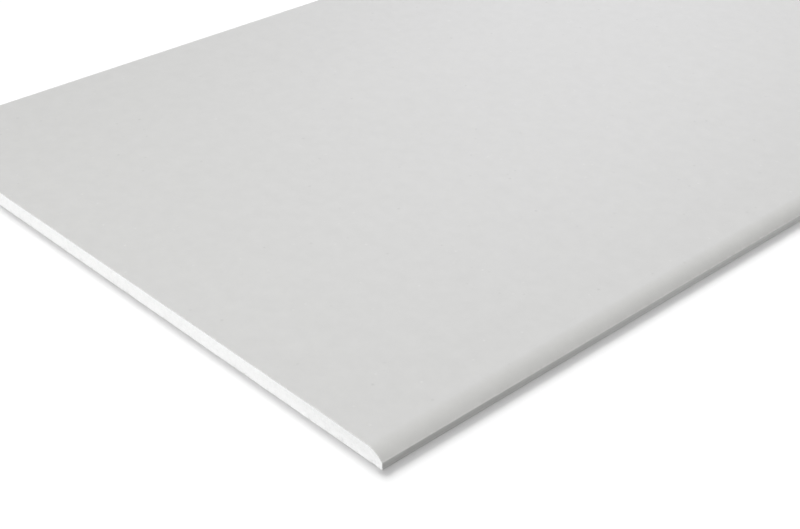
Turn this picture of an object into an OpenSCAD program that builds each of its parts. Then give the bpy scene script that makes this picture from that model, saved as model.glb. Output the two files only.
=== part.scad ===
// Drywall sheet: a foamed gypsum core faced on both sides with paper. The face paper runs over both
// long edges and is folded in under the board, and the back paper laps over the two folds. The long
// edges are tapered and rounded, so that a joint between two boards can be filled flush. Both ends
// are cut square, and show the bare core.
//
// The board lies face up. X runs across it, Y along it and Z up, and the origin is on the underside
// of the back paper, at the middle of the board.

/* [Board] */
// Width, from one long edge to the other
board_w = 600; // [300:5:1250]
// Length, from one cut end to the other
board_l = 2000; // [600:10:3600]
// Thickness away from the long edges
board_t = 12.5; // [9.5:0.5:15]

/* [Long edges] */
// Width of the thinner strip beside each long edge, shoulder included
taper_w = 60; // [40:1:90]
// Thickness lost from the flat of the face to the top of the shoulder
taper_drop = 0.5; // [0.2:0.1:1.2]
// Width of the rounded shoulder
shoulder_w = 14; // [11:0.5:25]
// Height of the upright lip below the shoulder, from the underside of the board
lip_h = 5.4; // [4:0.1:7.5]

/* [Papers] */
// Thickness of the face paper
face_paper_t = 0.35; // [0.2:0.05:0.6]
// Thickness of the back paper
back_paper_t = 0.35; // [0.2:0.05:0.6]
// Width of face paper folded in under the board at each long edge
fold_w = 26; // [18:1:40]
// Strip beside each long edge that the back paper leaves uncovered
back_margin = 8; // [4:1:14]

/* [Hidden] */

// Flats that make up each rounded shoulder
shoulder_flats = 24;

// Colours
core_colour = "white";
face_colour = [0.83, 0.83, 0.81];
back_colour = [0.66, 0.63, 0.57];

// Across the board
edge_x = board_w / 2;
taper_x = edge_x - taper_w;
shoulder_x = edge_x - shoulder_w;
fold_x = edge_x - fold_w;
back_x = edge_x - back_margin;

// Up the board: the folds lie on the back paper, and the core lies on the folds
fold_z = back_paper_t;
core_z = fold_z + face_paper_t;
shoulder_z = board_t - taper_drop;

// The shoulder is an arc that leaves the taper level and ends at the top of the lip
shoulder_drop = shoulder_z - lip_h;
shoulder_r = (shoulder_w * shoulder_w + shoulder_drop * shoulder_drop) / (2 * shoulder_drop);

function reversed(points) = [for (i = [len(points) - 1 : -1 : 0]) points[i]];
function mirrored(points) = [for (p = reversed(points)) [-p.x, p.y]];

// Points of the right shoulder from the lip up to the taper, at a depth below the paper's outer face
function shoulder_arc(depth) =
    let (r = shoulder_r - depth, end = asin((shoulder_w - depth) / r))
    [for (i = [shoulder_flats : -1 : 0])
        let (a = end * i / shoulder_flats)
        [shoulder_x + r * sin(a), shoulder_z - shoulder_r + r * cos(a)]];

// Right half of the line that the face paper follows: fold, lip, shoulder and taper
function half_wrap(depth, bottom_z) = concat(
    [[fold_x, bottom_z], [edge_x - depth, bottom_z]],
    shoulder_arc(depth),
    [[taper_x, board_t - depth]]);

// The whole line, from the edge of the right fold over the face to the edge of the left fold
function wrap(depth, bottom_z) =
    let (half = half_wrap(depth, bottom_z))
    concat(half, mirrored(half));

core_top = wrap(face_paper_t, core_z);
paper_outside = wrap(0, fold_z);

// Extrudes an outline drawn across the board to the board's full length
module along_board() {
    rotate([90, 0, 0])
        linear_extrude(height = board_l, center = true)
            children();
}

// Foamed gypsum, cast between the papers: between the folds it reaches down to the back paper
module gypsum_core() {
    color(core_colour)
        along_board()
            polygon(concat(core_top, [[-fold_x, fold_z], [fold_x, fold_z]]));
}

// One sheet over the face, both shoulders and both lips, with its two borders folded in underneath
module face_paper() {
    color(face_colour)
        along_board()
            polygon(concat(paper_outside, reversed(core_top)));
}

// Flat sheet over the back, lapping over both folds
module back_paper() {
    color(back_colour)
        along_board()
            translate([-back_x, 0])
                square([2 * back_x, back_paper_t]);
}

gypsum_core();
face_paper();
back_paper();
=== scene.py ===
# %% [markdown]
# # A drywall sheet
#
# A drywall sheet is a slab of foamed gypsum plaster between two papers. The plaster is poured on
# to the face paper, the paper's borders are folded up and over it, and the back paper is laid on
# top. Here the finished sheet lies the other way up, face to the ceiling.
#
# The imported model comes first. It is the fixed frame: it says how wide, long and thick the sheet
# is, and nothing made below may be larger or sit elsewhere. The box of each CAD node gives the
# places that the new meshes start from.

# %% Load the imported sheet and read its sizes
import math

import bmesh
import bpy
import numpy as np
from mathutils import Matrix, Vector


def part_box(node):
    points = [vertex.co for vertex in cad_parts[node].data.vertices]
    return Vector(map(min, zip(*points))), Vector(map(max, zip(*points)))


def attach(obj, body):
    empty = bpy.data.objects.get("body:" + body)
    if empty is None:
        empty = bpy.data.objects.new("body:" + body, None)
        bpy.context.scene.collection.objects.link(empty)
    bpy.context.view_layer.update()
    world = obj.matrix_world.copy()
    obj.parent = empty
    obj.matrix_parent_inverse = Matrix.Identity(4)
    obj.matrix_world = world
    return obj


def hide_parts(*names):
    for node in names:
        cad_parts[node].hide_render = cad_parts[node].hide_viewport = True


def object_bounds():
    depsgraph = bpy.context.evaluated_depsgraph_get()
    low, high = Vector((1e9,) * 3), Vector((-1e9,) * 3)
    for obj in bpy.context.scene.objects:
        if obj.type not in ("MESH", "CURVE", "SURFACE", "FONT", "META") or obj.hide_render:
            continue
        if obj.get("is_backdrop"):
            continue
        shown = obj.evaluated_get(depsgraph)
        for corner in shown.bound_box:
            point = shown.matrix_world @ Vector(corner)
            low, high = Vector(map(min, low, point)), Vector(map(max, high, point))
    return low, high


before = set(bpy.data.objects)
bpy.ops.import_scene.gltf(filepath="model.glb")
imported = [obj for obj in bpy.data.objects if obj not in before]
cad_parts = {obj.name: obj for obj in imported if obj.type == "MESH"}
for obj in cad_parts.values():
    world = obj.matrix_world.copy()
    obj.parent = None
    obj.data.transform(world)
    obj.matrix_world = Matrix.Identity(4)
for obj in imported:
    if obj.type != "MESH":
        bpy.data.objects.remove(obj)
cad_low, cad_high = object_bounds()
core_low, core_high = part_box("gypsum_core")
face_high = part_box("face_paper")[1]
back_low, back_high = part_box("back_paper")

MM = 0.001
half_width = cad_high.x
half_length = cad_high.y
board_top = cad_high.z
back_paper_t = back_high.z - back_low.z
face_paper_t = face_high.z - core_high.z
print(f"sheet {2 * half_width:.3f} x {2 * half_length:.3f} x {board_top:.4f} m")
print(f"papers {face_paper_t / MM:.2f} mm and {back_paper_t / MM:.2f} mm thick")

# %% [markdown]
# ## The camera
#
# A flat sheet is awkward to show. From high up it is a plain rectangle, and from low down it is a
# line. The view that tells most looks down on one corner, so that the cut end, a long edge and the
# face all show. The camera is placed from that corner and kept level, so the picture isn't tilted.

# %% Set up the camera
near_corner = Vector((cad_high.x, cad_low.y, cad_low.z))
camera_from_corner = Vector((0.5068, -0.4601, 0.5650))
camera_turn = math.radians(46.87)
camera_dip = math.radians(31.50)

camera_data = bpy.data.cameras.new("camera")
camera_data.sensor_width = 36.0
camera_data.lens = 65.55
camera_data.clip_start = 0.01
camera_data.clip_end = 100.0
camera = bpy.data.objects.new("camera", camera_data)
camera.location = near_corner + camera_from_corner
camera.rotation_euler = (math.pi / 2 - camera_dip, 0.0, camera_turn)
bpy.context.scene.collection.objects.link(camera)
bpy.context.scene.camera = camera
print("camera at", [round(v, 3) for v in camera.location])

# %% [markdown]
# ## The line that the face paper follows
#
# Seen from the cut end, the face paper is one long line. It starts under the board at the edge of
# the fold, turns up the short lip, runs over the rounded shoulder, climbs the shallow taper and
# crosses the flat of the face. The left half is the same, mirrored.
#
# The back paper laps over the fold, but it stops a little short of the long edge. Board and papers
# are pressed flat while the plaster is wet, so beside the back paper the fold comes down until it
# is level with it, but for a hair, and the board stands on both.
#
# One function gives that line at any depth below the paper's outer side. At depth zero it is the
# paper's outside. One paper thickness down it is the paper's inside, and also the surface that the
# plaster is cast against. All three come from the same function, so they always fit.

# %% Sizes of the long edges
taper_w = 60 * MM
taper_drop = 0.5 * MM
shoulder_w = 14 * MM
lip_h = 5.4 * MM
fold_w = 26 * MM
crease_r = 0.10 * MM

back_edge_x = back_high.x
flush_w = 4 * MM
flush_drop = 0.34 * MM

shoulder_x = half_width - shoulder_w
shoulder_z = board_top - taper_drop
shoulder_drop = shoulder_z - lip_h
shoulder_r = (shoulder_w ** 2 + shoulder_drop ** 2) / (2 * shoulder_drop)
print(f"shoulder radius {shoulder_r / MM:.1f} mm")

# How many points each stretch gets. The shoulder gets one for every 0.5 mm, and the straighter
# stretches one for every 0.7 to 1.5 mm. The crease is tiny, but it turns a whole corner.
FOLD_POINTS = 24
CREASE_POINTS = 6
LIP_POINTS = 8
SHOULDER_POINTS = 32
TAPER_POINTS = 30
FLAT_POINTS = 160


# %% The line at any depth
def ramp(start, stop, count):
    """Evenly spaced numbers from start up to, but not including, stop."""
    return np.linspace(start, stop, count, endpoint=False)


def smooth_step(value):
    """Turns a straight climb from 0 to 1 into one that starts and ends level."""
    share = np.clip(value, 0.0, 1.0)
    return share * share * (3.0 - 2.0 * share)


def fold_sink(x):
    """How much lower the fold lies beside the back paper than over it."""
    return flush_drop * smooth_step((np.abs(x) - back_edge_x) / flush_w)


def half_wrap(depth, bottom_z):
    """Points (x, z) of the right half of the line, from the fold's edge up to the face."""
    foot_z = bottom_z - flush_drop
    edge_x = half_width - depth
    arc_r = shoulder_r - depth
    arc_end = math.asin((shoulder_w - depth) / arc_r)
    arc_mid_z = shoulder_z - shoulder_r
    fold_x = ramp(half_width - fold_w, edge_x - crease_r, FOLD_POINTS)
    bend = ramp(0.0, math.pi / 2, CREASE_POINTS)
    lip_z = ramp(foot_z + crease_r, arc_mid_z + arc_r * math.cos(arc_end), LIP_POINTS)
    arc = ramp(arc_end, 0.0, SHOULDER_POINTS)
    taper_x = ramp(shoulder_x, half_width - taper_w, TAPER_POINTS)
    climb = taper_drop * smooth_step((shoulder_x - taper_x) / (taper_w - shoulder_w))
    flat_x = ramp(half_width - taper_w, 0.0, FLAT_POINTS)
    stretches = [
        (fold_x, bottom_z - fold_sink(fold_x)),
        (edge_x - crease_r * (1 - np.sin(bend)), foot_z + crease_r * (1 - np.cos(bend))),
        (lip_z * 0 + edge_x, lip_z),
        (shoulder_x + arc_r * np.sin(arc), arc_mid_z + arc_r * np.cos(arc)),
        (taper_x, shoulder_z - depth + climb),
        (flat_x, flat_x * 0 + board_top - depth)]
    return np.concatenate([np.stack(stretch, axis=1) for stretch in stretches])


def wrap_line(depth, bottom_z):
    """Points (x, z) of the whole line, from the right fold's edge over to the left one's."""
    right = half_wrap(depth, bottom_z)
    middle = [[0.0, board_top - depth]]
    left = right[::-1] * [-1.0, 1.0]
    return np.concatenate([right, middle, left])


outside_line = wrap_line(0.0, back_paper_t)
inside_line = wrap_line(face_paper_t, back_paper_t + face_paper_t)
print(len(outside_line), "points across the face paper")

# %% [markdown]
# ## Roughness that is really there
#
# A cut through plaster isn't a plane, and paper isn't cut in a dead straight line. Bump in a
# material can fake fine grain, but it can't change an outline or cast a shadow. So the coarser
# part of the roughness goes into the meshes, and only the finest part is left to the materials.
#
# It comes from smooth random heights: random numbers on a grid, blended between the grid's points.
# The random numbers have a fixed seed, so every run makes the same sheet.

# %% A smooth random field
def rough_field(u, v, cell, seed):
    """Smooth random heights between -1 and 1 over the plane u, v, with bumps about a cell wide."""
    dice = np.random.default_rng(seed)
    a = (u - u.min()) / cell
    b = (v - v.min()) / cell
    grid = dice.uniform(-1.0, 1.0, (int(a.max()) + 2, int(b.max()) + 2))
    i = a.astype(int)
    j = b.astype(int)
    s = smooth_step(a - i)
    t = smooth_step(b - j)
    near_side = grid[i, j] * (1 - s) + grid[i + 1, j] * s
    far_side = grid[i, j + 1] * (1 - s) + grid[i + 1, j + 1] * s
    return near_side * (1 - t) + far_side * t


# %% [markdown]
# ## From grids of points to a mesh
#
# Papers and plaster are long things with one section each, so an extruded curve would give their
# shape in one go. But an extrusion has no say over its ends, and the ends are where a cut board
# shows what it is made of. So every surface here is a grid of points, joined with four-sided faces.
# Neighbouring grids share the points along their common edge, which keeps the piece watertight.

# %% Helpers for grids
SHARP_ANGLE = math.radians(30)


def grid_faces(ids):
    """Four-sided faces that join neighbouring points of a grid of point numbers."""
    corners = [ids[:-1, :-1], ids[1:, :-1], ids[1:, 1:], ids[:-1, 1:]]
    return np.stack(corners, axis=-1).reshape(-1, 4)


def make_piece(name, points, faces, node):
    """A mesh object, in the sheet's own frame, that stands for one CAD node."""
    mesh = bpy.data.meshes.new(name)
    mesh.from_pydata(points.tolist(), [], faces.tolist())
    mesh.shade_smooth()
    mesh.set_sharp_from_angle(angle=SHARP_ANGLE)
    piece = bpy.data.objects.new(name, mesh)
    bpy.context.scene.collection.objects.link(piece)
    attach(piece, "root")
    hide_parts(node)
    body = bmesh.new()
    body.from_mesh(mesh)
    litres = 1000 * body.calc_volume(signed=True)
    body.free()
    print(f"{name}: {len(mesh.vertices)} points, {len(mesh.polygons)} faces, {litres:.3f} litres")
    return piece


# %% [markdown]
# ## A sheet of paper
#
# A sheet has an outer side, an inner side and a rim all the way round. Its two cut rims wander by
# a tenth of a millimetre, as a blade leaves them, and the blade presses the outer side down a
# little right at the cut. The rows of points lie close together near the cuts, where the shape
# changes, and far apart along the rest of the board, where nothing does.

# %% Rows of points along the board
CUT_ROWS = np.array([0.0, 0.1, 0.25, 0.5, 1.0, 2.0, 4.0, 8.0, 16.0]) * MM
MIDDLE_ROWS = 64
middle_reach = half_length - 2 * CUT_ROWS[-1]
rows_y = np.concatenate([
    CUT_ROWS - half_length,
    np.linspace(-middle_reach, middle_reach, MIDDLE_ROWS),
    half_length - CUT_ROWS[::-1]])
print(len(rows_y), "rows along the board")

# %% What the blade does
WANDER = 0.14 * MM
WANDER_REACH = 4 * MM
FINE_WANDER_CELL = 3 * MM
COARSE_WANDER_CELL = 14 * MM
PRESSED = 0.05 * MM
PRESSED_REACH = 0.5 * MM
print(f"cut rims wander by {WANDER / MM:.2f} mm and are pressed down by {PRESSED / MM:.2f} mm")


# %% Turn an outer and an inner line into a sheet
def sheet_of_paper(name, outer, inner, node, seed):
    """A paper sheet whose outer and inner sides follow two lines with equally many points."""
    along = np.cumsum(np.hypot(*np.diff(outer, axis=0, prepend=outer[:1]).T))
    fine = rough_field(along, along * 0, FINE_WANDER_CELL, seed)
    coarse = rough_field(along, along * 0, COARSE_WANDER_CELL, seed + 1)
    pulled_back = WANDER * (fine + coarse + 2) / 4
    from_cut = half_length - np.abs(rows_y)
    near_cut = 1 - smooth_step(from_cut / WANDER_REACH)
    y = rows_y[:, None] - np.sign(rows_y)[:, None] * near_cut[:, None] * pulled_back
    at_blade = 1 - smooth_step(from_cut / PRESSED_REACH)
    towards_inner = (inner - outer) / np.hypot(*(inner - outer).T)[:, None]
    press = at_blade[:, None, None] * PRESSED * towards_inner
    sides = []
    for line, shift in ((outer, press), (inner, press * 0)):
        across = line[None, :, :] + shift
        sides.append(np.stack([across[:, :, 0], y, across[:, :, 1]], axis=-1))
    points = np.concatenate([side.reshape(-1, 3) for side in sides])
    outer_ids = np.arange(y.size).reshape(y.shape)
    inner_ids = outer_ids + y.size
    faces = [grid_faces(outer_ids), grid_faces(inner_ids)[:, ::-1]]
    for rim_outer, rim_inner, turned in (
            (outer_ids[0], inner_ids[0], -1), (outer_ids[-1], inner_ids[-1], 1),
            (outer_ids[:, 0], inner_ids[:, 0], 1), (outer_ids[:, -1], inner_ids[:, -1], -1)):
        faces.append(grid_faces(np.stack([rim_outer, rim_inner]))[:, ::turned])
    return make_piece(name, points, np.concatenate(faces), node)


# %% Face paper
face_sheet = sheet_of_paper("face_paper_sheet", outside_line, inside_line, "face_paper", seed=11)

# %% [markdown]
# ## The back paper
#
# The back paper is flat, and it is laid over the two folds and glued. It is narrower than the
# board, so a strip of the folded face paper shows beside it. Seen from below, its two long edges
# are where the eye goes. They are slit by a wheel and run straight, so here its line is just a row
# of evenly spaced points, and the same function as before makes it a sheet.

# %% Back paper
BACK_POINTS = 200
back_x = np.linspace(back_low.x, back_high.x, BACK_POINTS)
back_outer = np.stack([back_x, back_x * 0 + back_low.z], axis=1)
back_inner = np.stack([back_x, back_x * 0 + back_high.z], axis=1)
back_sheet = sheet_of_paper("back_paper_sheet", back_outer, back_inner, "back_paper", seed=23)

# %% [markdown]
# ## The gypsum core
#
# The core shows only at the two cuts, so that is where its points go. Each cut is a fine grid that
# fills the outline between the papers, and the four long sides under the paper are single strips.
#
# Foamed gypsum is full of small round voids. A cut opens some of them as pits, and it drags fine
# furrows across the board where hard grains catch. The papers are tougher than the plaster, so
# they end a fraction of a millimetre further out.

# %% Outline of the core at each column of the cut
CORE_COLUMNS = 1200
CORE_ROWS = 26
core_x = np.linspace(core_low.x, core_high.x, CORE_COLUMNS)
below_shoulder = FOLD_POINTS + CREASE_POINTS + LIP_POINTS
top_part = inside_line[below_shoulder:-below_shoulder]
core_top_z = np.interp(core_x, top_part[::-1, 0], top_part[::-1, 1])
FOLD_STEP_W = 0.5 * MM
fold_end_x = half_width - fold_w
on_fold = smooth_step((np.abs(core_x) - fold_end_x + FOLD_STEP_W) / FOLD_STEP_W)
core_bottom_z = core_low.z + face_paper_t * on_fold - fold_sink(core_x)
up = np.linspace(0.0, 1.0, CORE_ROWS)[:, None]
cut_x = np.broadcast_to(core_x, (CORE_ROWS, CORE_COLUMNS))
cut_z = core_bottom_z + up * (core_top_z - core_bottom_z)
print(f"core {core_top_z.max() / MM:.2f} mm high, {core_top_z[0] / MM:.2f} mm at the lip")

# %% Sizes of the marks in a cut
CUT_BEHIND = 0.16 * MM

# Heights of the grain, the slow waves and the slanting furrows, and how wide each bump is
GRAIN_H = 0.03 * MM
GRAIN_W = 0.9 * MM
WAVE_H = 0.05 * MM
WAVE_W = 6 * MM
FURROW_H = 0.03 * MM
FURROW_W = 1.4 * MM
FURROW_SLANT = 0.3

# Pits are round and lie anywhere in the cut. Chips lie along its upper and lower edges. Radii and
# widths are in mm, from least to most.
PITS = 420
PIT_RADII = (0.5, 1.0)
PIT_DEPTH_SHARE = 0.4
CHIPS = 16
CHIP_WIDTHS = (1.5, 3.5)
CHIP_DEPTH = 0.3 * MM
CHIP_H = 0.8 * MM
print(f"each cut gets {PITS} pits of radius {PIT_RADII} mm and {CHIPS} chips {CHIP_WIDTHS} mm wide")


# %% Relief of a cut
def dish(x, z, depth, radius_x, radius_z):
    """A round-bottomed hollow at x, z, as a depth over the whole cut."""
    reach = ((cut_x - x) / radius_x) ** 2 + ((cut_z - z) / radius_z) ** 2
    return depth * np.clip(1 - reach, 0, None) ** 1.5


def cut_relief(seed):
    """How far the plaster lies behind the end of the board, over one cut."""
    dice = np.random.default_rng(seed)
    slant = cut_x + FURROW_SLANT * cut_z
    relief = CUT_BEHIND + GRAIN_H * rough_field(cut_x, cut_z, GRAIN_W, seed + 1)
    relief += WAVE_H * rough_field(cut_x, cut_z, WAVE_W, seed + 2)
    relief += FURROW_H * rough_field(slant, cut_z * 0, FURROW_W, seed + 3)
    for _ in range(PITS):
        column = dice.integers(CORE_COLUMNS)
        z = dice.uniform(core_bottom_z[column], core_top_z[column])
        radius = dice.uniform(*PIT_RADII) * MM
        pit = dish(core_x[column], z, radius * PIT_DEPTH_SHARE, radius, radius)
        relief = np.maximum(relief, CUT_BEHIND + pit)
    for _ in range(CHIPS):
        column = dice.integers(CORE_COLUMNS)
        z = dice.choice([core_bottom_z[column], core_top_z[column]])
        width = dice.uniform(*CHIP_WIDTHS) * MM
        chip = dish(core_x[column], z, CHIP_DEPTH, width, CHIP_H)
        relief = np.maximum(relief, CUT_BEHIND + chip)
    return relief


front_relief = cut_relief(seed=31)
rear_relief = cut_relief(seed=47)
print(f"cuts are up to {max(front_relief.max(), rear_relief.max()) / MM:.2f} mm deep")

# %% Core
front_cut = np.stack([cut_x, front_relief - half_length, cut_z], axis=-1)
rear_cut = np.stack([cut_x, half_length - rear_relief, cut_z], axis=-1)
core_points = np.concatenate([front_cut.reshape(-1, 3), rear_cut.reshape(-1, 3)])
front_ids = np.arange(CORE_ROWS * CORE_COLUMNS).reshape(CORE_ROWS, CORE_COLUMNS)
rear_ids = front_ids + front_ids.size
core_faces = [grid_faces(front_ids)[:, ::-1], grid_faces(rear_ids)]
for edge, turned in ((np.s_[0, :], 1), (np.s_[-1, :], -1), (np.s_[:, 0], -1), (np.s_[:, -1], 1)):
    core_faces.append(grid_faces(np.stack([front_ids[edge], rear_ids[edge]]))[:, ::turned])
core_block = make_piece("gypsum_core_block", core_points, np.concatenate(core_faces), "gypsum_core")

# %% [markdown]
# ## Shader building blocks
#
# A material is a small machine of nodes. Wiring it by hand takes two calls a node, one to make it
# and one to join it, so a few short helpers do that. A number given to `add` sets a socket, and a
# socket given to `add` is linked to it. Sockets are picked by name, or by number where a node has
# several of one name: `_6` is the seventh.

# %% Helpers for nodes
def add(tree, kind, settings=None, **inputs):
    """A new node. Settings are its own options, and inputs are values or links for its sockets."""
    node = tree.nodes.new(kind)
    for key, value in (settings or {}).items():
        setattr(node, key, value)
    for key, value in inputs.items():
        socket = node.inputs[int(key[1:])] if key[0] == "_" else node.inputs[key.replace("_", " ")]
        if isinstance(value, bpy.types.NodeSocket):
            tree.links.new(value, socket)
        else:
            socket.default_value = value
    return node


def math_node(tree, operation, *values, clamp=False):
    """The result socket of a Math node."""
    inputs = {f"_{i}": value for i, value in enumerate(values)}
    node = add(tree, "ShaderNodeMath", {"operation": operation, "use_clamp": clamp}, **inputs)
    return node.outputs[0]


def rescale(tree, value, from_low, from_high, to_low, to_high):
    """The result socket of a Map Range node that eases in and out."""
    settings = {"interpolation_type": "SMOOTHSTEP"}
    node = add(tree, "ShaderNodeMapRange", settings, Value=value, From_Min=from_low,
               From_Max=from_high, To_Min=to_low, To_Max=to_high)
    return node.outputs["Result"]


def about_zero(tree, pattern, strength):
    """Turns a pattern from 0 to 1 into one from -1 to 1, times a strength."""
    centred = math_node(tree, "MULTIPLY_ADD", pattern, 2.0, -1.0)
    return math_node(tree, "MULTIPLY", centred, strength)


def whereabouts(tree):
    """Where a point is on the sheet: one vector socket, and the three sockets X, Y and Z."""
    place = add(tree, "ShaderNodeTexCoord").outputs["Object"]
    return place, add(tree, "ShaderNodeSeparateXYZ", Vector=place).outputs


def new_group(name, inputs, outputs):
    """An empty shader node group with number inputs and outputs, and its two end nodes."""
    tree = bpy.data.node_groups.new(name, "ShaderNodeTree")
    for key, value in inputs.items():
        socket = tree.interface.new_socket(key, in_out="INPUT", socket_type="NodeSocketFloat")
        socket.default_value = value
    for key in outputs:
        tree.interface.new_socket(key, in_out="OUTPUT", socket_type="NodeSocketFloat")
    return tree, tree.nodes.new("NodeGroupInput"), tree.nodes.new("NodeGroupOutput")


# %% [markdown]
# ## What both papers have in common
#
# The papers are made from pulped waste paper. The pulp settles in soft clouds, which show as a
# slightly uneven grey. The fibres lie mostly along the machine's run, which is the board's length,
# so the grain is stretched that way. And here and there a fleck of print or of bleached fibre got
# through. Face and back differ only in how strong each effect is, so all three go into one group
# that both materials use, each with its own values.

# %% Node group: pulp
pulp, pulp_in, pulp_out = new_group(
    "pulp",
    {"Clouds": 0.01, "Fibres": 0.01, "Dark Flecks": 0.5, "Light Flecks": 0.5, "Fleck Size": 0.3},
    ["Shade", "Height"])
FIBRE_SCALE = (1300.0, 330.0, 1300.0)
FLECK_SHARE = 0.06
FLECK_REACH = 0.4
place = add(pulp, "ShaderNodeTexCoord").outputs["Object"]
clouds = add(pulp, "ShaderNodeTexNoise", Vector=place, Scale=70.0, Detail=5.0, Roughness=0.72)
long_grain = add(pulp, "ShaderNodeMapping", Vector=place, Scale=FIBRE_SCALE)
fibres = add(pulp, "ShaderNodeTexNoise", Vector=long_grain.outputs[0], Scale=1.0, Detail=2.0,
             Roughness=0.6, Distortion=0.8)


def flecks(scale):
    """Round dots, some strong and some weak, one in a few cells of a Voronoi pattern, as a mask."""
    cells = add(pulp, "ShaderNodeTexVoronoi", {"feature": "F1"}, Vector=place, Scale=scale)
    lots = add(pulp, "ShaderNodeSeparateColor", Color=cells.outputs["Color"])
    chosen = math_node(pulp, "LESS_THAN", lots.outputs[0], FLECK_SHARE)
    size = math_node(pulp, "MULTIPLY", pulp_in.outputs["Fleck Size"], FLECK_REACH)
    dot = rescale(pulp, cells.outputs["Distance"], 0.0, size, 1.0, 0.0)
    faint = math_node(pulp, "MULTIPLY", dot, lots.outputs[1])
    return math_node(pulp, "MULTIPLY", faint, chosen)


cloud_shade = about_zero(pulp, clouds.outputs[0], pulp_in.outputs["Clouds"])
fibre_shade = about_zero(pulp, fibres.outputs[0], pulp_in.outputs["Fibres"])
dark = math_node(pulp, "MULTIPLY", flecks(160.0), pulp_in.outputs["Dark Flecks"])
light = math_node(pulp, "MULTIPLY", flecks(190.0), pulp_in.outputs["Light Flecks"])
shade = math_node(pulp, "ADD", cloud_shade, fibre_shade)
shade = math_node(pulp, "ADD", math_node(pulp, "SUBTRACT", shade, dark), light)
pulp.links.new(math_node(pulp, "ADD", shade, 1.0), pulp_out.inputs["Shade"])
pulp.links.new(fibres.outputs[0], pulp_out.inputs["Height"])
print("pulp group:", len(pulp.nodes), "nodes")

# %% [markdown]
# ## Edges that have been handled
#
# The paper is rubbed where the board is gripped and slid, along its long edges and at its cuts. So
# the mask is high close to those edges, and broken up by patches. The same group serves every
# material: how far it reaches in, and what it does to the colour, is up to each of them.
#
# A mask that simply fades with distance looks like a printed border. Dividing the distance by a
# reach that a noise pattern changes from place to place makes its end ragged, as wear is.

# %% Ragged masks beside an edge
PATCH_LOW = 0.35
PATCH_HIGH = 0.75
LEAST_REACH = 0.1


def from_edge(tree, half_size, coordinate):
    """How far a point is from the nearer of two edges, each half a size from the middle."""
    return math_node(tree, "SUBTRACT", half_size, math_node(tree, "ABSOLUTE", coordinate))


def ragged(tree, place, distance, reach):
    """A mask that falls from 1 at an edge to 0 at the reach, or sooner where the noise is low."""
    patches = add(tree, "ShaderNodeTexNoise", Vector=place, Scale=140.0, Detail=4.0, Roughness=0.7)
    share = rescale(tree, patches.outputs[0], PATCH_LOW, PATCH_HIGH, LEAST_REACH, 1.0)
    near = math_node(tree, "DIVIDE", distance, math_node(tree, "MULTIPLY", reach, share))
    return rescale(tree, near, 0.0, 1.0, 1.0, 0.0)


# %% Node group: rubbed edges
rubbed, rubbed_in, rubbed_out = new_group(
    "rubbed_edges", {"Half Width": 0.3, "Half Length": 1.0, "Reach": 0.004}, ["Mask"])
place, xyz = whereabouts(rubbed)
from_side = from_edge(rubbed, rubbed_in.outputs["Half Width"], xyz[0])
from_cut = from_edge(rubbed, rubbed_in.outputs["Half Length"], xyz[1])
nearest = math_node(rubbed, "MINIMUM", from_side, from_cut)
worn_away = ragged(rubbed, place, nearest, rubbed_in.outputs["Reach"])
rubbed.links.new(worn_away, rubbed_out.inputs["Mask"])
print("rubbed edges group:", len(rubbed.nodes), "nodes")

# %% [markdown]
# ## Plaster dust, and painted light on the plaster's cuts
#
# Cutting plaster makes dust. It is wiped off the face, but it stays at the foot of the cuts, where
# nobody wipes. There it covers the grey rims of the papers, so that the white of the cut seems to
# run right down to the floor.
#
# Loose grains of mesh could stand for it, but grains that fine are only a white film to the eye. So
# it is a mask too, high at the cuts and ragged where it ends. How high it climbs is an input. The
# plaster's own cuts use the same mask for painted light: they are made whiter from the floor up,
# which lightens the shade low down on them.

# %% Node group: plaster dust, also used for painted light
dust, dust_in, dust_out = new_group(
    "plaster_dust_and_painted_light", {"Half Length": 1.0, "Reach": 0.002, "Top": 0.001, "Fade": 0.001}, ["Mask"])
place, xyz = whereabouts(dust)
from_cut = from_edge(dust, dust_in.outputs["Half Length"], xyz[1])
at_cut = ragged(dust, place, from_cut, dust_in.outputs["Reach"])
over_top = math_node(dust, "SUBTRACT", xyz[2], dust_in.outputs["Top"])
low_down = rescale(dust, over_top, 0.0, dust_in.outputs["Fade"], 1.0, 0.0)
dust.links.new(math_node(dust, "MULTIPLY", at_cut, low_down), dust_out.inputs["Mask"])
print("plaster dust group:", len(dust.nodes), "nodes")

# %% [markdown]
# ## From masks to colours
#
# A group gives out only numbers: a shade, a height or a mask. These helpers turn them into a
# colour. One multiplies a plain colour by a shade. One goes from one colour to another as a mask
# rises. One lays white over whatever colour is there already: dust on the papers, and painted light
# on the plaster. The shader that takes the colour is made anew in each material, because gloss and
# roughness are that material's own affair.

# %% Helpers for materials
DUST_COLOUR = (0.880, 0.880, 0.875)
# How far in from a cut the whitening reaches, for dust and painted light alike
CUT_WHITENING_REACH = 2 * MM

# Noise seldom leaves this range
NOISE_LOW = 0.3
NOISE_HIGH = 0.7


def use_group(tree, group, **inputs):
    """A group node, with its inputs set."""
    node = add(tree, "ShaderNodeGroup", {"node_tree": group})
    for key, value in inputs.items():
        node.inputs[key.replace("_", " ")].default_value = value
    return node


def tinted(tree, colour, shade):
    """A colour socket: one colour times a shade that changes over the surface."""
    grey = add(tree, "ShaderNodeCombineColor", Red=shade, Green=shade, Blue=shade)
    settings = {"data_type": "RGBA", "blend_type": "MULTIPLY"}
    mix = add(tree, "ShaderNodeMix", settings, _0=1.0, _6=(*colour, 1.0), _7=grey.outputs[0])
    return mix.outputs[2]


def blended(tree, mask, below, above):
    """A colour socket that goes from below to above as the mask goes from 0 to 1."""
    settings = {"data_type": "RGBA", "blend_type": "MIX"}
    mix = add(tree, "ShaderNodeMix", settings, _0=mask, _6=below, _7=above)
    return mix.outputs[2]


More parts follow.
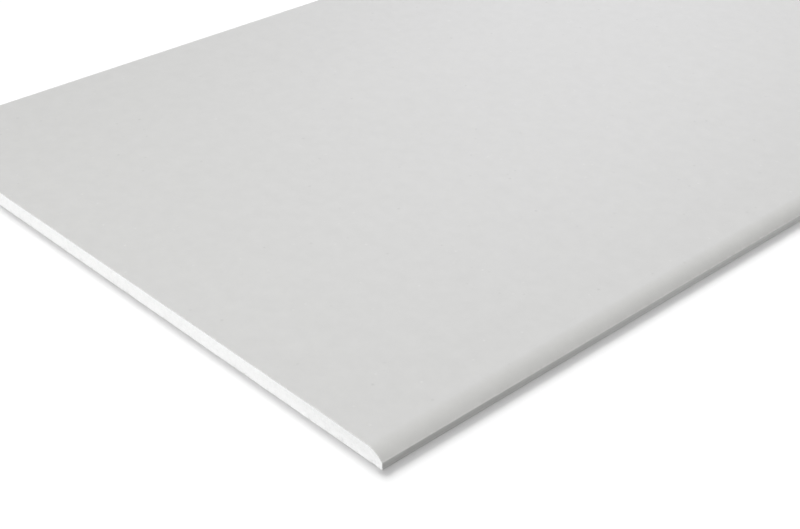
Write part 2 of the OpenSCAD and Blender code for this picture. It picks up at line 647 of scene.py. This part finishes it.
def dust_and_light_at_cuts(tree, colour, white, top, fade):
    """A colour socket made whiter at the cuts up to a height above the floor: dust on paper,
    painted light on plaster.
    """
    film = use_group(tree, dust, Half_Length=half_length, Reach=CUT_WHITENING_REACH, Top=top, Fade=fade)
    return blended(tree, film.outputs["Mask"], colour, (*white, 1.0))


def uneven(tree, pattern, middle, spread):
    """A number socket that follows a pattern, so far to either side of a middle value."""
    return rescale(tree, pattern, NOISE_LOW, NOISE_HIGH, middle - spread, middle + spread)


def new_material(name, specular):
    """A material with one Principled shader wired to its output."""
    material = bpy.data.materials.new(name)
    material.use_nodes = True
    tree = material.node_tree
    tree.nodes.clear()
    shader = add(tree, "ShaderNodeBsdfPrincipled")
    shader.inputs["Specular IOR Level"].default_value = specular
    output = add(tree, "ShaderNodeOutputMaterial", Surface=shader.outputs[0])
    output.is_active_output = True
    return material, tree, shader


# %% [markdown]
# ## Where the face paper is worn, and where light and shade are painted on it
#
# The long edges are the worst treated part of a board. It is stood and slid on them, so the lip is
# rubbed pale in patches. On top of that wear, the lip is made paler with painted light: most at its
# foot, where it lightens the shade along the floor, a little at its upper arris, as a painted
# highlight, and more along the board than close to its corners. The shoulder above is darkened with
# painted shade, also more along the board than near the corners. The face is also a trace darker
# along its long borders.
#
# All of this could be painted on an image by hand. Here each mask is worked out from how far a
# point is from the middle, from the cuts and from the floor, so it keeps its place when a size
# changes.

# %% How far each kind of wear, painted light and painted shade reaches, and how strong it is
BORDER_REACH = 0.22
CORNER_REACH = 0.35
# How far in the painted shade on the shoulder reaches
SHOULDER_SHADE_REACH = 9 * MM
LIP_FADE_START = 0.9 * MM
LIP_FADE_END = 0.1 * MM
# Painted light on the lip: a highlight along its arris, and paler paint that lightens its foot's
# shade
ARRIS_REACH = 1.2 * MM
ARRIS_PAINTED_HIGHLIGHT = 0.22
FOOT_REACH = 2.4 * MM
FOOT_PAINTED_LIGHT = 0.70
LEAST_WORN = 0.07
# Painted light that makes the lip paler along the board than near its corners
ALONG_BOARD_PAINTED_LIGHT = 0.38
print(f"a lip is worn {FOOT_PAINTED_LIGHT} at its foot, {ARRIS_PAINTED_HIGHLIGHT} at its arris and {LEAST_WORN} between")

# %% Masks of the face paper
face_paper, tree, shader = new_material("face_paper", specular=0.5)
x, y, z = whereabouts(tree)[1]
off_middle = math_node(tree, "ABSOLUTE", x)
off_centre = math_node(tree, "ABSOLUTE", y)
off_arris = math_node(tree, "ABSOLUTE", math_node(tree, "SUBTRACT", z, lip_h))
# The face is a trace darker towards its long borders
border = rescale(tree, off_middle, half_width - BORDER_REACH, half_width, 0.0, 1.0)
away_from_cuts = rescale(tree, off_centre, half_length - CORNER_REACH, half_length, 1.0, 0.0)
on_lip = rescale(tree, z, lip_h - LIP_FADE_START, lip_h - LIP_FADE_END, 1.0, 0.0)
# Where the shoulder gets painted shade, above the lip
over_shoulder = rescale(tree, off_middle, half_width - SHOULDER_SHADE_REACH, half_width, 0.0, 1.0)
on_shoulder = math_node(tree, "SUBTRACT", over_shoulder, on_lip, clamp=True)
# Painted highlight at the arris, and painted light that lightens the shade at the lip's foot
arris = rescale(tree, off_arris, 0.0, ARRIS_REACH, ARRIS_PAINTED_HIGHLIGHT, LEAST_WORN)
foot = rescale(tree, z, 0.0, FOOT_REACH, FOOT_PAINTED_LIGHT, LEAST_WORN)
along_board_light = math_node(tree, "MULTIPLY", math_node(tree, "MULTIPLY", away_from_cuts, on_lip), ALONG_BOARD_PAINTED_LIGHT)
lip_wear_and_light = math_node(tree, "ADD", math_node(tree, "MAXIMUM", arris, foot), along_board_light)
print("face paper masks:", len(tree.nodes), "nodes")

# %% [markdown]
# ## Face paper
#
# The face is the good side, made to be painted: light grey, a touch warm, smooth and matt. Its
# clouds and fibres are so faint that they are felt more than seen. Seen along the board at a low
# angle it has a slight gloss, because the paper is pressed smooth by hot rolls. Where it is rubbed,
# the fibres stand up, and it is both paler and duller. On the lip most of that paleness is painted
# light, and the shoulder is darkened with painted shade.
#
# The cuts and the long edges are rubbed in different ways, so the group is placed twice. Each time
# the size that doesn't matter is doubled, which puts those edges out of the group's reach.

# %% Material: face paper
FACE_COLOUR = (0.537, 0.536, 0.5235)
WORN_AND_PAINTED_LIGHT_FACE = (0.800, 0.800, 0.792, 1.0)
RUBBED_ROUGHER = 0.12
CUT_RUB = 0.35
BORDER_DARKER = 0.030
# Painted shade on the shoulder, and more of it along the board than near the corners
SHOULDER_PAINTED_SHADE = 0.012
ALONG_BOARD_PAINTED_SHADE = 0.070
stock = use_group(tree, pulp, Clouds=0.058, Fibres=0.020, Dark_Flecks=0.14, Light_Flecks=0.12,
                  Fleck_Size=0.75)
at_cut = use_group(tree, rubbed, Half_Width=2 * half_width, Half_Length=half_length, Reach=1.5 * MM)
at_side = use_group(tree, rubbed, Half_Width=half_width, Half_Length=2 * half_length, Reach=3 * MM)
# Patchy wear along the long edges, times the lip's painted light; the rub at the cuts is wear
rub = math_node(tree, "MULTIPLY", at_side.outputs["Mask"], lip_wear_and_light, clamp=True)
cut_rub = math_node(tree, "MULTIPLY", at_cut.outputs["Mask"], CUT_RUB)
rub = math_node(tree, "MAXIMUM", rub, cut_rub)
# Painted shade on the shoulder, then the darker long borders added to it
face_darkening = math_node(tree, "MULTIPLY_ADD", away_from_cuts, ALONG_BOARD_PAINTED_SHADE, SHOULDER_PAINTED_SHADE)
face_darkening = math_node(tree, "MULTIPLY", on_shoulder, face_darkening)
face_darkening = math_node(tree, "MULTIPLY_ADD", border, BORDER_DARKER, face_darkening)
shade = math_node(tree, "SUBTRACT", stock.outputs["Shade"], face_darkening)
colour = blended(tree, rub, tinted(tree, FACE_COLOUR, shade), WORN_AND_PAINTED_LIGHT_FACE)
colour = dust_and_light_at_cuts(tree, colour, DUST_COLOUR, top=1 * MM, fade=1 * MM)
fibre_height = stock.outputs["Height"]
roughness = uneven(tree, fibre_height, middle=0.62, spread=0.05)
roughness = math_node(tree, "MULTIPLY_ADD", rub, RUBBED_ROUGHER, roughness)
bump = add(tree, "ShaderNodeBump", Strength=0.12, Distance=0.03 * MM, Height=fibre_height)
tree.links.new(colour, shader.inputs["Base Color"])
tree.links.new(roughness, shader.inputs["Roughness"])
tree.links.new(bump.outputs[0], shader.inputs["Normal"])
face_sheet.data.materials.append(face_paper)
print("face paper:", len(tree.nodes), "nodes")

# %% [markdown]
# ## Back paper
#
# Nobody paints the back, so it is made from the cheaper pulp: darker, browner and rougher, with
# stronger clouds and fibres and many more flecks. It uses the same three groups as the face, with
# larger values, and that alone makes it a different paper.

# %% Material: back paper
BACK_COLOUR = (0.420, 0.400, 0.362)
RUBBED_BACK = (0.500, 0.485, 0.450, 1.0)
BACK_RUB = 0.6
back_paper, tree, shader = new_material("back_paper", specular=0.3)
stock = use_group(tree, pulp, Clouds=0.16, Fibres=0.20, Dark_Flecks=0.45, Light_Flecks=0.35,
                  Fleck_Size=0.55)
edges = use_group(tree, rubbed, Half_Width=back_high.x, Half_Length=half_length, Reach=3 * MM)
rub = math_node(tree, "MULTIPLY", edges.outputs["Mask"], BACK_RUB)
colour = blended(tree, rub, tinted(tree, BACK_COLOUR, stock.outputs["Shade"]), RUBBED_BACK)
colour = dust_and_light_at_cuts(tree, colour, DUST_COLOUR, top=1 * MM, fade=1 * MM)
fibre_height = stock.outputs["Height"]
roughness = uneven(tree, fibre_height, middle=0.85, spread=0.08)
bump = add(tree, "ShaderNodeBump", Strength=0.6, Distance=0.08 * MM, Height=fibre_height)
tree.links.new(colour, shader.inputs["Base Color"])
tree.links.new(roughness, shader.inputs["Roughness"])
tree.links.new(bump.outputs[0], shader.inputs["Normal"])
back_sheet.data.materials.append(back_paper)
print("back paper:", len(tree.nodes), "nodes")

# %% [markdown]
# ## Gypsum
#
# Set plaster is nearly pure white and has no gloss at all. What keeps it from looking like plastic
# is its texture: a mottle where it dried unevenly, fine grains, and countless voids too small for
# the mesh. Those are a Voronoi pattern of round cells, of which only some are open. A void is a
# little darker inside, because light that goes in bounces about before it comes out.
#
# Towards the long edges the plaster is a trace darker, and it is darkest right behind the lip.

# %% Texture of the gypsum
OPEN_SHARE = 0.22
VOID_FLOOR_REACH = 0.15
VOID_RIM_REACH = 0.45
gypsum, tree, shader = new_material("gypsum", specular=0.2)
place, xyz = whereabouts(tree)
mottle = add(tree, "ShaderNodeTexNoise", Vector=place, Scale=260.0, Detail=3.0, Roughness=0.65)
grains = add(tree, "ShaderNodeTexNoise", Vector=place, Scale=900.0, Detail=4.0, Roughness=0.7)
bubbles = add(tree, "ShaderNodeTexVoronoi", {"feature": "F1"}, Vector=place, Scale=1500.0)
lot = add(tree, "ShaderNodeSeparateColor", Color=bubbles.outputs["Color"]).outputs[0]
is_open = math_node(tree, "LESS_THAN", lot, OPEN_SHARE)
hollow = rescale(tree, bubbles.outputs["Distance"], VOID_FLOOR_REACH, VOID_RIM_REACH, 1.0, 0.0)
void = math_node(tree, "MULTIPLY", hollow, is_open)
height = math_node(tree, "SUBTRACT", grains.outputs[0], void)
print("gypsum texture:", len(tree.nodes), "nodes")

# %% Material: gypsum
GYPSUM_COLOUR = (0.852, 0.855, 0.852)
CUT_FOOT_PAINTED_LIGHT = (0.950, 0.952, 0.950)
GRAIN_STRENGTH = 0.04
MOTTLE_STRENGTH = 0.08
VOID_DARKER = 0.14
EDGE_DARKER_REACH = 0.16
EDGE_DARKER = 0.065
LIP_DARKER = 0.04
off_middle = math_node(tree, "ABSOLUTE", xyz[0])
# The plaster is a trace darker towards the long edges
edge_darkening = rescale(tree, off_middle, half_width - EDGE_DARKER_REACH, half_width, 0.0, EDGE_DARKER)
edges = use_group(tree, rubbed, Half_Width=half_width, Half_Length=2 * half_length, Reach=2 * MM)
behind_lip = math_node(tree, "MULTIPLY", edges.outputs["Mask"], LIP_DARKER)
shade = math_node(tree, "ADD", 1.0, about_zero(tree, grains.outputs[0], GRAIN_STRENGTH))
shade = math_node(tree, "ADD", shade, about_zero(tree, mottle.outputs[0], MOTTLE_STRENGTH))
shade = math_node(tree, "SUBTRACT", shade, math_node(tree, "MULTIPLY", void, VOID_DARKER))
shade = math_node(tree, "SUBTRACT", shade, behind_lip)
shade = math_node(tree, "SUBTRACT", shade, edge_darkening)
bump = add(tree, "ShaderNodeBump", Strength=0.5, Distance=0.12 * MM, Height=height)
# Painted light: the cut is made whiter from the floor up, which lightens its shade near the floor
colour = dust_and_light_at_cuts(tree, tinted(tree, GYPSUM_COLOUR, shade), CUT_FOOT_PAINTED_LIGHT, top=-1 * MM, fade=10 * MM)
tree.links.new(colour, shader.inputs["Base Color"])
roughness = uneven(tree, grains.outputs[0], middle=0.94, spread=0.05)
tree.links.new(roughness, shader.inputs["Roughness"])
tree.links.new(bump.outputs[0], shader.inputs["Normal"])
core_block.data.materials.append(gypsum)
print("gypsum:", len(tree.nodes), "nodes")

# %% [markdown]
# ## Floor and light
#
# The sheet lies on a plain pale floor in soft studio light. Light grey paper on white is a matter
# of a few levels of grey, so the light has to do two jobs that pull against each other. The sheet
# wants light from high up on its cut end's side, so that the plaster is bright, the face is even
# and the lip stays dark. The floor wants light from low down on the far side, so that the sheet
# throws a soft shadow past the lip and can be told from the floor.
#
# In a studio, flags part the two: black boards that keep a lamp's light off one thing. In Blender
# light linking does the same: each lamp is given a list of what it lights or leaves out.
# Everything still throws its shadow. So two lamps light only the sheet, and two only the floor.
#
# The surroundings light sheet and floor alike. They are brighter overhead than at floor level, as
# under a studio's white ceiling, so that what faces up gets more of it than the lip does. Where the
# camera sees them they are plain white, and the floor runs into them without a line.

# %% Floor
FLOOR_SIZE = 60.0
FLOOR_GAP = 0.02 * MM
FLOOR_COLOUR = (0.92, 0.92, 0.92)
floor_mesh = bpy.data.meshes.new("floor")
far = FLOOR_SIZE / 2
floor_corners = [(-far, -far, 0), (far, -far, 0), (far, far, 0), (-far, far, 0)]
floor_mesh.from_pydata(floor_corners, [], [(0, 1, 2, 3)])
floor = bpy.data.objects.new("floor", floor_mesh)
floor.location.z = cad_low.z - FLOOR_GAP
bpy.context.scene.collection.objects.link(floor)
floor_finish, tree, shader = new_material("floor", specular=0.0)
shader.inputs["Base Color"].default_value = (*FLOOR_COLOUR, 1.0)
shader.inputs["Roughness"].default_value = 1.0
floor_mesh.materials.append(floor_finish)
floor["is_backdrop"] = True
print(f"floor {FLOOR_SIZE} m square, {FLOOR_GAP / MM:.2f} mm under the sheet")

# %% Surroundings
LEVEL_LIGHT = 0.16
OVERHEAD_LIGHT = 0.58
world = bpy.data.worlds.new("studio")
world.use_nodes = True
tree = world.node_tree
tree.nodes.clear()
direction = add(tree, "ShaderNodeTexCoord").outputs["Generated"]
height = add(tree, "ShaderNodeSeparateXYZ", Vector=direction).outputs[2]
upward = math_node(tree, "MAXIMUM", height, 0.0)
glow = math_node(tree, "MULTIPLY_ADD", upward, OVERHEAD_LIGHT - LEVEL_LIGHT, LEVEL_LIGHT)
path = add(tree, "ShaderNodeLightPath")
seen = math_node(tree, "MAXIMUM", path.outputs["Is Camera Ray"], glow)
surround = add(tree, "ShaderNodeBackground", Color=(1.0, 1.0, 1.0, 1.0), Strength=seen)
add(tree, "ShaderNodeOutputWorld", Surface=surround.outputs[0])
bpy.context.scene.world = world
print(f"surroundings {LEVEL_LIGHT} at floor level, {OVERHEAD_LIGHT} overhead")

# %% [markdown]
# ## Four lamps
#
# The key is high on the cut end's side and gives the sheet most of its light. The sheen lamp is
# faint and low on the far side, and skims the face, which brings out the paper's slight gloss
# further along the board. It is a touch blue, like light from a window, so the gloss is cooler than
# the warm paper. The floor lamp comes from the far side too and throws the shadow past the lip. The
# floor fill is broad and higher, and keeps that shadow from going dark close to the sheet.
#
# All four are suns, so their light is the same wherever the sheet lies. A sun's angle is how wide
# it looks in the sky, and the wider it is, the softer its shadows are.

# %% Lamps
SKY_TINT = (0.96, 0.96, 1.12)


def studio_lamp(name, bearing, height, angle, strength, colour=(1.0, 1.0, 1.0)):
    """A distant soft lamp. Bearing, from +Y towards +X, and height are in degrees."""
    lamp = bpy.data.lights.new(name, "SUN")
    lamp.angle = math.radians(angle)
    lamp.energy = strength
    lamp.color = colour
    holder = bpy.data.objects.new(name, lamp)
    holder.rotation_euler = (math.radians(90 - height), 0.0, math.radians(180 - bearing))
    bpy.context.scene.collection.objects.link(holder)
    return holder


def flag(lamp, link_state):
    """Lets a lamp light the floor alone (INCLUDE) or all but the floor (EXCLUDE)."""
    flagged = bpy.data.collections.new(f"{lamp.name}_{link_state.lower()}")
    flagged.objects.link(floor)
    flagged.collection_objects[0].light_linking.link_state = link_state
    lamp.light_linking.receiver_collection = flagged


key = studio_lamp("key", bearing=191, height=60, angle=25, strength=2.72)
flag(key, "EXCLUDE")
sheen_lamp = studio_lamp("sheen_lamp", bearing=320, height=14, angle=20, strength=0.58,
                         colour=SKY_TINT)
flag(sheen_lamp, "EXCLUDE")
floor_lamp = studio_lamp("floor_lamp", bearing=286, height=36, angle=23, strength=2.9)
flag(floor_lamp, "INCLUDE")
floor_fill = studio_lamp("floor_fill", bearing=329, height=49, angle=57, strength=0.6)
flag(floor_fill, "INCLUDE")
print(", ".join(lamp.name for lamp in bpy.data.lights))

# %% [markdown]
# ## Last settings and checks
#
# The colours are shown as they are, without a film look, so that white stays white. The sizes of
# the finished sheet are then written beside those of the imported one: they have to agree.

# %% Colour, sizes and finish
bpy.context.scene.view_settings.view_transform = "Standard"
low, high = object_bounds()
differences = [(v - c) / MM for v, c in zip((*low, *high), (*cad_low, *cad_high))]
print("visual minus CAD, mm:", [round(difference, 3) for difference in differences])
